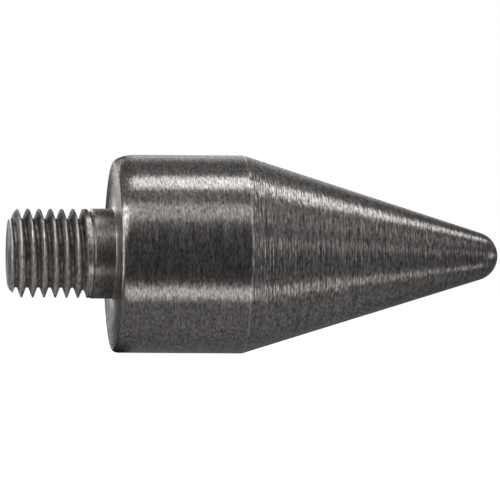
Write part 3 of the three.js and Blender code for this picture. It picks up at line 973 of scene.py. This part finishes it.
# How many streaks, waves and scratches there are for each mark of grain
STREAKS_ALONG = 0.6
STREAKS_ACROSS = 0.2
WAVES_ALONG = 0.7
SCRATCHES_ALONG = 0.7
# Marks per metre across the axis
GROOVES_AROUND = 260
SCRATCHES_AROUND = 45
STREAK_SHADES = (0.8, 1.2)
# Only the peaks of the noise are scratches
SCRATCH_PEAKS = (0.7, 0.76)
ROUGHNESS_SWING = 0.15
SPECULAR_LEVEL = 0.1
# Turns the drawn-out reflections from round the axis to along it
QUARTER_TURN = 0.25

# Counts are per metre and heights in metres. grain, grain_around: short marks along the axis and across
# it; tone: how much their shades differ; wave_height, wave_around: unevenness; groove_height: depth of
# the tool marks; along_blur: how far reflections spread along the axis; scratch: shade of a scratch
Finish = namedtuple("Finish", [
    "grain", "grain_around", "tone", "wave_height", "wave_around", "groove_height", "roughness",
    "along_blur", "scratch",
])
SHANK_FINISH = Finish(
    grain=3800, grain_around=1000, tone=0.6, wave_height=4e-5, wave_around=500, groove_height=2e-5,
    roughness=0.42, along_blur=0.5, scratch=0.7,
)
BODY_FINISH = Finish(
    grain=3800, grain_around=1300, tone=0.68, wave_height=3e-5, wave_around=700, groove_height=2e-5,
    roughness=0.27, along_blur=0.8, scratch=0.85,
)
POINT_FINISH = Finish(
    grain=3800, grain_around=1100, tone=0.66, wave_height=8e-5, wave_around=450, groove_height=1.3e-4,
    roughness=0.3, along_blur=0.8, scratch=0.75,
)

# What changes from place to place on a piece: its shade, which carries painted highlights and painted
# shade, how much it still mirrors when seen edge on (None: all), how much of it is bare metal, and how
# deep its tool marks are
Zones = namedtuple("Zones", ["shade", "edge_on", "bare", "marks"], defaults=(1.0, None, 1.0, 1.0))


def turned_steel(name, finish, zones_of):
    """Dark steel straight from the lathe: short marks round the axis, and a few longer scratches."""
    material, tree, shader = new_material(name)
    at = Turning(tree)
    zones = zones_of(tree, at)
    streaks = ring_noise(
        tree, at, finish.grain * STREAKS_ALONG, finish.grain_around * STREAKS_ACROSS, shift=STREAK_SHIFT,
    )
    shade = product(tree, marks_shade(tree, at, finish, streaks), zones.shade)
    tinted(tree, shader, DARK_STEEL, shade)
    roughness = ranged(tree, streaks, *NOISE_MIDDLE, *around(finish.roughness, ROUGHNESS_SWING))
    feed(tree, roughness, shader.inputs["Roughness"])
    feed(tree, marks_bump(tree, at, finish, zones.marks), shader.inputs["Normal"])
    feed(tree, zones.bare, shader.inputs["Metallic"])
    if zones.edge_on is not None:
        grey = shader_node(tree, "ShaderNodeCombineXYZ", {axis: zones.edge_on for axis in "XYZ"})
        feed(tree, grey.outputs[0], shader.inputs["Specular Tint"])
    round_axis = shader_node(tree, "ShaderNodeTangent", direction_type="RADIAL", axis="X")
    feed(tree, round_axis.outputs[0], shader.inputs["Tangent"])
    shader.inputs["Specular IOR Level"].default_value = SPECULAR_LEVEL
    shader.inputs["Anisotropic"].default_value = finish.along_blur
    shader.inputs["Anisotropic Rotation"].default_value = QUARTER_TURN
    return material


def marks_shade(tree, at, finish, streaks):
    """Shade of the grain, the streaks and the scratches together."""
    grain = ring_noise(tree, at, finish.grain, finish.grain_around)
    scratches = ring_noise(
        tree, at, finish.grain * SCRATCHES_ALONG, SCRATCHES_AROUND, detail=0.0, shift=SCRATCH_SHIFT,
    )
    return product(
        tree,
        ranged(tree, grain, *NOISE_SPREAD, *around(1, finish.tone)),
        ranged(tree, streaks, *NOISE_SPREAD, *STREAK_SHADES),
        ranged(tree, scratches, *SCRATCH_PEAKS, 1.0, finish.scratch),
    )


def marks_bump(tree, at, finish, marks):
    """Tool marks on an uneven surface."""
    waves = ring_noise(
        tree, at, finish.grain * WAVES_ALONG, finish.wave_around, detail=1.0, shift=WAVE_SHIFT,
    )
    grooves = ring_noise(tree, at, finish.grain, GROOVES_AROUND, detail=1.0, shift=GROOVE_SHIFT)
    coarse = bump(tree, waves, finish.wave_height)
    fine = bump(tree, product(tree, grooves, marks), finish.groove_height)
    feed(tree, coarse.outputs[0], fine.inputs["Normal"])
    return fine.outputs[0]


# ------------ zones of the three outer pieces

# Each is a ramp: where it starts and ends, in millimetres, and its values there.
# Along X: the end face, the thread, the plain neck and the flange with the rear shoulder follow each other
PAST_END = (-18.42, -18.32, 0.0, 1.0)
PAST_THREAD = (-4.2, -4.0, 0.0, 1.0)
PAST_NECK = (-0.3, -0.1, 0.0, 1.0)
# The neck darkens towards the flange: painted shade
NECK_PAINTED_SHADE = (-3.2, -2.0, 0.95, 0.62)
# By radius: the root, the flank and the crest of the thread, the end face and the shoulder. Their shades
# are painted light: a painted highlight along the roots, painted shade on the flanks, a painted highlight
# on the crests, painted shade in the middle of the end face with a painted highlight on its rim, and a
# painted highlight on the shoulder near the neck
ROOT_PAINTED_HIGHLIGHT = (6.12, 6.24, 0.6, 0.0)
FLANK_PAINTED_SHADE = (6.2, 7.5, 0.22, 0.55)
CREST_PAINTED_HIGHLIGHT = (7.5, 7.75, 1.0, 3.6)
ROOT_BARE = (6.12, 6.24, 0.7, 0.0)
CREST_BARE = (7.5, 7.75, 0.2, 1.0)
END_PAINTED_SHADE_AND_HIGHLIGHT = (5.85, 6.0, 0.42, 1.8)
SHOULDER_PAINTED_HIGHLIGHT = (8.2, 11.5, 1.2, 0.8)
SHOULDER_EDGE_ON = (8.4, 10.5, 1.1, 0.62)
# By height: the top of the thread is darkened by painted shade, and partly bare
TOP_PAINTED_SHADE = (5.6, 6.8, 1.0, 0.5)
TOP_BARE = (5.0, 6.6, 0.0, 0.6)
END_EDGE_ON = 0.85
THREAD_EDGE_ON = 0.1
NECK_EDGE_ON = 0.8
WEAR_PER_METRE = 900
WEAR_SPREAD = (0.35, 0.65)
WEAR_SHADES = (0.7, 1.3)
# Along X: the rear face and the outside of the housing, both sides of the running gap with a painted
# highlight, and the cone with painted shade on its tip
FACE_EDGE_ON = (0.002, 0.03, 0.56, 0.1)
OUTSIDE_EDGE_ON = (1.5, 3.5, 0.0, 0.9)
HOUSING_RIM_PAINTED_HIGHLIGHT = (22.7, 22.78, 1.0, 1.8)
POINT_RIM_PAINTED_HIGHLIGHT = (23.04, 23.12, 1.8, 1.0)
CONE_MARKS = (23, 29, 2.0, 1.0)
TIP_PAINTED_SHADE = (40, 64, 1.0, 0.74)


def shank_zones(tree, at):
    """The end face, the thread, the neck darkened by painted shade, and the shoulder with a painted
    highlight near the neck, one after another.
    """
    past_end = ramp(tree, at.x, *PAST_END)
    past_thread = ramp(tree, at.x, *PAST_THREAD)
    past_neck = ramp(tree, at.x, *PAST_NECK)
    # Painted shade on the neck, and a painted highlight on the shoulder near the neck
    neck = ramp(tree, at.x, *NECK_PAINTED_SHADE)
    front_painted_light = mixed(tree, past_neck, neck, ramp(tree, at.radius, *SHOULDER_PAINTED_HIGHLIGHT))
    front_edge_on = mixed(tree, past_neck, NECK_EDGE_ON, ramp(tree, at.radius, *SHOULDER_EDGE_ON))
    shade = mixed(tree, past_thread, thread_shade(tree, at), front_painted_light)
    edge_on = mixed(tree, past_thread, THREAD_EDGE_ON, front_edge_on)
    bare = mixed(tree, past_thread, thread_bare(tree, at), 1.0)
    # The end face has painted shade in its middle and a painted highlight on its rim
    return Zones(
        shade=mixed(tree, past_end, ramp(tree, at.radius, *END_PAINTED_SHADE_AND_HIGHLIGHT), shade),
        edge_on=mixed(tree, past_end, END_EDGE_ON, edge_on),
        bare=mixed(tree, past_end, 1.0, bare),
    )


def thread_shade(tree, at):
    """Painted shade on the flanks and on top, painted highlights on the crests and along the roots, and
    all of it unevenly worn.
    """
    wear = ring_noise(tree, at, WEAR_PER_METRE, WEAR_PER_METRE, shift=WEAR_SHIFT)
    # Painted shade on the flanks, a painted highlight along the roots and on the crests, and painted shade
    # on top
    flank_shade = ramp(tree, at.radius, *FLANK_PAINTED_SHADE)
    flank_and_root_painted_light = math_node(tree, "ADD", flank_shade, ramp(tree, at.radius, *ROOT_PAINTED_HIGHLIGHT))
    crest = ramp(tree, at.radius, *CREST_PAINTED_HIGHLIGHT)
    worn = ranged(tree, wear, *WEAR_SPREAD, *WEAR_SHADES)
    return product(tree, flank_and_root_painted_light, crest, worn, ramp(tree, at.z, *TOP_PAINTED_SHADE))


def thread_bare(tree, at):
    """The flanks are dull, not bare metal, except on the crests, in the roots and, in part, on top."""
    crest = ramp(tree, at.radius, *CREST_BARE)
    round_about = math_node(tree, "ADD", crest, ramp(tree, at.radius, *ROOT_BARE))
    return math_node(tree, "MAXIMUM", round_about, ramp(tree, at.z, *TOP_BARE))


def body_zones(tree, at):
    """The rear face mirrors less than the outside when seen edge on, and its broken edge least of all. A
    painted highlight runs along the front rim, by the running gap.
    """
    face = ramp(tree, at.x, *FACE_EDGE_ON)
    # A painted highlight along the front rim, by the running gap
    return Zones(
        shade=ramp(tree, at.x, *HOUSING_RIM_PAINTED_HIGHLIGHT),
        edge_on=math_node(tree, "ADD", face, ramp(tree, at.x, *OUTSIDE_EDGE_ON)),
    )


def point_zones(tree, at):
    """The tool marks are deepest where the cone begins, a painted highlight runs along the rim by the
    running gap, and painted shade makes the tip a little darker.
    """
    # Painted shade darkens the tip a little
    tip = ramp(tree, at.x, *TIP_PAINTED_SHADE)
    return Zones(
        shade=product(tree, tip, ramp(tree, at.x, *POINT_RIM_PAINTED_HIGHLIGHT)),
        marks=ramp(tree, at.x, *CONE_MARKS),
    )


# ------------ other materials

# Marks per metre along the axis and across it
GRIND_LINES = (5000, 60)
GRIND_CLOUDS = (300, 300)
GRIND_SWING = 0.2
GRIND_HEIGHT = 3e-6
RUBBER_GRAIN = (1500, 1500)
RUBBER_DETAIL = 3.0
RUBBER_COLOUR = (0.02, 0.02, 0.021)
RUBBER_SHADES = (0.7, 1.3)
RUBBER_ROUGHNESS = (0.5, 0.75)
RUBBER_HEIGHT = 1e-5


def ground_metal(name, colour, roughness, grain):
    """Bright or tinted metal with a fine grain round the axis."""
    material, tree, shader = new_material(name)
    at = Turning(tree)
    lines = ring_noise(tree, at, *GRIND_LINES)
    clouds = ring_noise(tree, at, *GRIND_CLOUDS, shift=CLOUD_SHIFT)
    tinted(tree, shader, colour, ranged(tree, clouds, *NOISE_MIDDLE, *around(1, grain)))
    dullness = ranged(tree, lines, *NOISE_MIDDLE, *around(roughness, GRIND_SWING))
    feed(tree, dullness, shader.inputs["Roughness"])
    feed(tree, bump(tree, lines, GRIND_HEIGHT).outputs[0], shader.inputs["Normal"])
    shader.inputs["Metallic"].default_value = 1.0
    return material


def seal_rubber():
    """Matt black rubber with a fine grain."""
    material, tree, shader = new_material("seal_rubber")
    grain = ring_noise(tree, Turning(tree), *RUBBER_GRAIN, detail=RUBBER_DETAIL)
    tinted(tree, shader, RUBBER_COLOUR, ranged(tree, grain, *NOISE_MIDDLE, *RUBBER_SHADES))
    feed(tree, ranged(tree, grain, *NOISE_MIDDLE, *RUBBER_ROUGHNESS), shader.inputs["Roughness"])
    feed(tree, bump(tree, grain, RUBBER_HEIGHT).outputs[0], shader.inputs["Normal"])
    return material


MATERIALS = {
    "shank_steel": turned_steel("shank_steel", SHANK_FINISH, shank_zones),
    "housing_steel": turned_steel("housing_steel", BODY_FINISH, body_zones),
    "point_steel": turned_steel("point_steel", POINT_FINISH, point_zones),
    "race_steel": ground_metal("race_steel", colour=(0.62, 0.63, 0.64), roughness=0.22, grain=0.06),
    "roller_steel": ground_metal("roller_steel", colour=(0.75, 0.76, 0.77), roughness=0.1, grain=0.03),
    "cage_brass": ground_metal("cage_brass", colour=(0.62, 0.45, 0.2), roughness=0.32, grain=0.1),
    "spacer_steel": ground_metal("spacer_steel", colour=(0.45, 0.45, 0.46), roughness=0.35, grain=0.08),
    "spring_steel": ground_metal("spring_steel", colour=(0.12, 0.125, 0.14), roughness=0.3, grain=0.12),
    "seal_rubber": seal_rubber(),
}

# ------------ the pieces

housing_sleeve()
threaded_shank()
center_point()
front_bearing()
thrust_bearing()
needle_bearing()
retaining_ring()
wave_spring()
front_seal()
shank_o_ring()
plain_rings()

# ------------ studio

# Radiance of a lamp times its area, as a share of its power
AREA_LIGHT_SHARE = 0.25
# Each strip has two ends, in metres, a width and a radiance
STRIP_LIGHTS = {
    "overhead_strip": ((-0.03, -0.003, 0.6), (0.6, 0.113, 0.6), 0.19, 1.3),
    "front_top_box": ((-0.08, -0.5, 0.6), (0.28, -0.5, 0.6), 0.29, 0.33),
    "lower_front_strip": ((-0.35, -0.63, -0.517), (0.65, -0.46, -0.64), 0.2, 0.61),
    "right_front_box": ((0.5, -0.55, 0.16), (0.62, -0.45, 0.16), 0.16, 0.45),
    "left_front_strip": ((-0.78, -0.2, 0.56), (-0.27, -0.66, 0.78), 0.3, 1.6),
    "left_middle_strip": ((-0.55, -0.6, 0.62), (-0.65, -0.7, 0.38), 0.3, 1.2),
    "left_box": ((-0.9, -0.12, -0.3), (-0.9, -0.12, 0.6), 0.7, 0.9),
    "back_box": ((-0.45, 1.4, 0.04), (-0.45, 1.4, 0.94), 0.8, 1.6),
    "right_box": ((1, 0, -0.06), (1, 0, 0.16), 0.3, 1.2),
}
# How far a direction points to the front, the right or the top, and the greys of the room over that
# range: dark behind the camera, paler round the sides, and a pale patch high up behind the object
ROOM_BY_FRONT = (0.62, 0.9, 0.165, 0.055)
ROOM_BY_BACK = (-0.5, -0.2, 0.82, 1.0)
WALL_BY_BACK = (-0.98, -0.7, 0.55, 0.0)
WALL_BY_RIGHT = (0.15, 0.4, 1.0, 0.2)
WALL_BY_HEIGHT = (0.1, 0.3, 0.0, 1.0)
WHITE = (1, 1, 1, 1)
FLOOR_RADIUS = 3.0
FLOOR_CORNERS = 96
FLOOR_GAP = 0.0001
FLOOR_COLOUR = (0.9, 0.9, 0.9, 1)
FLOOR_ROUGHNESS = 0.9
FLOOR_GLOW = 0.88


def strip_light(name, start, end, width, radiance):
    """A soft strip between two points, in metres, that faces the object."""
    start = Vector(start)
    end = Vector(end)
    centre = (start + end) / 2
    along = (end - start).normalized()
    away = (centre - along * centre.dot(along)).normalized()
    light = bpy.data.lights.new(name, "AREA")
    light.shape = "RECTANGLE"
    light.size = (end - start).length
    light.size_y = width
    light.energy = radiance * light.size * light.size_y / AREA_LIGHT_SHARE
    lamp = bpy.data.objects.new(name, light)
    lamp.matrix_world = Matrix((along, away.cross(along), away)).transposed().to_4x4()
    lamp.location = centre
    lamp.visible_camera = False
    bpy.context.scene.collection.objects.link(lamp)


def room_grey(tree):
    """How bright the room is in the direction that a ray goes."""
    direction = shader_node(tree, "ShaderNodeTexCoord").outputs["Generated"]
    axes = shader_node(tree, "ShaderNodeSeparateXYZ", {"Vector": direction}).outputs
    front = math_node(tree, "MULTIPLY", axes["Y"], -1.0)
    room = product(tree, ranged(tree, front, *ROOM_BY_FRONT), ranged(tree, front, *ROOM_BY_BACK))
    wall = product(
        tree,
        ranged(tree, front, *WALL_BY_BACK),
        ranged(tree, axes["X"], *WALL_BY_RIGHT),
        ranged(tree, axes["Z"], *WALL_BY_HEIGHT),
    )
    return math_node(tree, "ADD", room, wall)


def studio_world():
    """White where the camera looks past the object, and soft greys where the steel reflects it."""
    world = bpy.data.worlds.new("studio")
    world.use_nodes = True
    bpy.context.scene.world = world
    tree = world.node_tree
    tree.nodes.clear()
    soft = shader_node(tree, "ShaderNodeBackground", {"Color": WHITE, "Strength": room_grey(tree)})
    white = shader_node(tree, "ShaderNodeBackground", {"Color": WHITE, "Strength": 1.0})
    seen = shader_node(tree, "ShaderNodeLightPath").outputs["Is Camera Ray"]
    either = shader_node(tree, "ShaderNodeMixShader", {0: seen, 1: soft.outputs[0], 2: white.outputs[0]})
    shader_node(tree, "ShaderNodeOutputWorld", {"Surface": either.outputs[0]})


def floor():
    """A plain pale floor that the tool lies on. It isn't mirrored in the steel."""
    height = cad_low.z - FLOOR_GAP
    points = []
    for corner in range(FLOOR_CORNERS):
        angle = FULL_TURN * corner / FLOOR_CORNERS
        points.append((FLOOR_RADIUS * math.cos(angle), FLOOR_RADIUS * math.sin(angle), height))
    mesh = bpy.data.meshes.new("floor")
    mesh.from_pydata(points, [], [list(range(FLOOR_CORNERS))])
    material, _, shader = new_material("pale_floor")
    shader.inputs["Base Color"].default_value = FLOOR_COLOUR
    shader.inputs["Roughness"].default_value = FLOOR_ROUGHNESS
    shader.inputs["Emission Color"].default_value = WHITE
    shader.inputs["Emission Strength"].default_value = FLOOR_GLOW
    mesh.materials.append(material)
    ground = bpy.data.objects.new("floor", mesh)
    ground.visible_glossy = False
    bpy.context.scene.collection.objects.link(ground)


studio_world()
floor()
for light_name, strip in STRIP_LIGHTS.items():
    strip_light(light_name, *strip)

# ------------ camera

# A long lens, far away: the object looks almost without perspective
FOCAL_LENGTH = 1000
SENSOR_WIDTH = 36
FIELD_WIDTH = 0.0884
CLIP_START = 0.1
CLIP_END = 10
VIEW_AZIMUTH = math.radians(-6.2)
VIEW_ROLL = math.radians(0.4)
AIM = Vector((0.02433, 0, 0.00082))


def add_camera():
    """A camera that sees the object from the side and a little from behind."""
    camera_data = bpy.data.cameras.new("camera")
    camera_data.lens = FOCAL_LENGTH
    camera_data.sensor_width = SENSOR_WIDTH
    camera_data.clip_start = CLIP_START
    camera_data.clip_end = CLIP_END
    camera = bpy.data.objects.new("camera", camera_data)
    bpy.context.scene.collection.objects.link(camera)
    back = Vector((math.sin(VIEW_AZIMUTH), -math.cos(VIEW_AZIMUTH), 0))
    distance = FIELD_WIDTH * FOCAL_LENGTH / SENSOR_WIDTH
    camera.location = AIM + back * distance
    camera.rotation_mode = "QUATERNION"
    level = (-back).to_track_quat("-Z", "Y")
    camera.rotation_quaternion = level @ Quaternion((0, 0, 1), VIEW_ROLL)
    bpy.context.scene.camera = camera


add_camera()
bpy.context.scene.view_settings.view_transform = "Standard"
